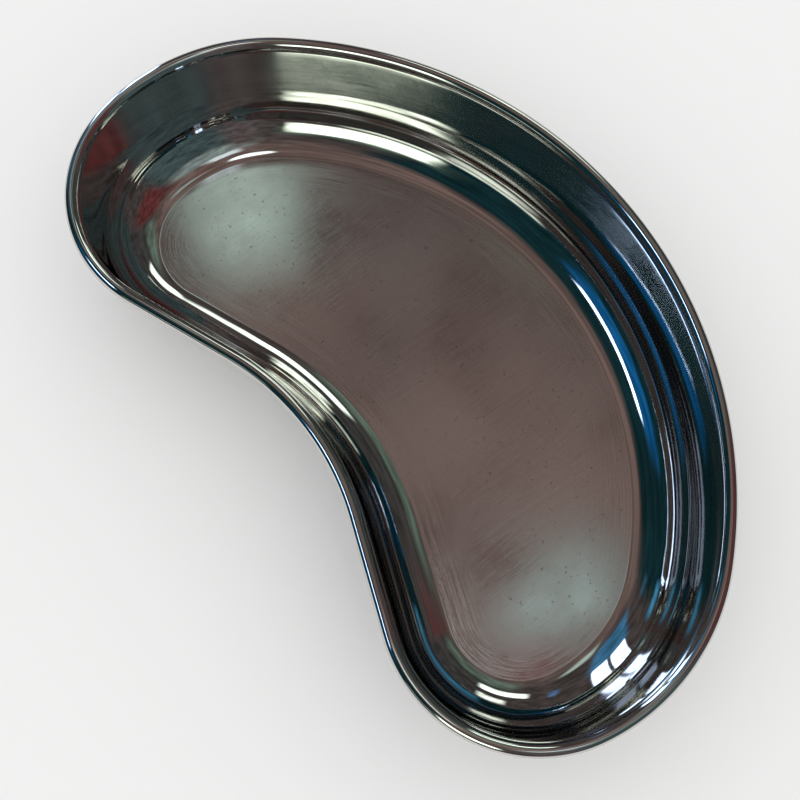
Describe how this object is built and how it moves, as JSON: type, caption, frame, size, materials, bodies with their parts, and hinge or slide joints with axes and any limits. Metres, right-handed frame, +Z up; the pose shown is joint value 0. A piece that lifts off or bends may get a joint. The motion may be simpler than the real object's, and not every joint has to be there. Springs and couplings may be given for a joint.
{
  "type": "kidney dish",
  "caption": "Kidney-shaped medical dish of polished stainless sheet, with a flat satin floor, rounded cove, flared wall and a rim rolled over a wire.",
  "frame": {"origin": "under the middle of the dish, on the surface that it stands on", "axes": "+X along the length, +Y towards the convex back, +Z up out of the open top"},
  "size_m": [0.25, 0.146, 0.042],
  "materials": {
    "polished_sheet": "mirror-polished wall and rim, satin-brushed floor and underside",
    "wire": "drawn wire"
  },
  "bodies": {
    "root": {"dish_shell": "polished_sheet", "rim_wire": "wire"}
  },
  "joints": []
}
